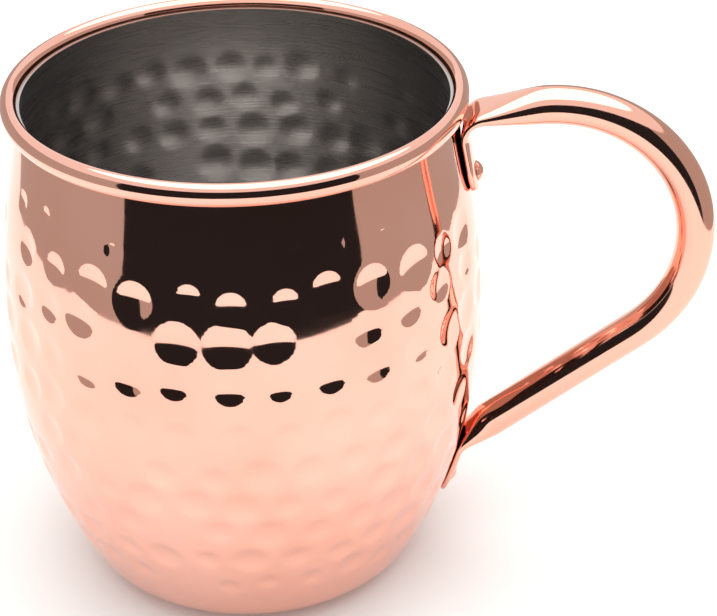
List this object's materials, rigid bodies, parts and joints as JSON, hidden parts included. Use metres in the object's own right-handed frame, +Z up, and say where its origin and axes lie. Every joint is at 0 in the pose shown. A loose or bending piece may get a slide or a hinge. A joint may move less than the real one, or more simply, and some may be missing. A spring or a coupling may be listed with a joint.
{
  "type": "copper mug",
  "caption": "Hammered barrel-shaped copper mug with a steel liner, a rolled rim and a riveted bent tube handle.",
  "frame": {"origin": "middle of the mug's flat base, on the surface that it stands on", "axes": "+Z up along the barrel's axis, +X from the axis towards the handle, whose bent tube lies in the XZ plane"},
  "size_m": [0.1318, 0.09, 0.0999],
  "materials": {
    "polished_copper": "mirror-polished lacquered copper, hammered on the barrel and plain on the neck, rim and handle",
    "liner_steel": "satin grey steel with the hammer marks showing through as low bumps"
  },
  "bodies": {
    "root": {"copper_shell": "polished_copper", "steel_liner": "liner_steel", "tube_handle": "polished_copper", "upper_rivet": "polished_copper", "lower_rivet": "polished_copper"}
  },
  "joints": []
}
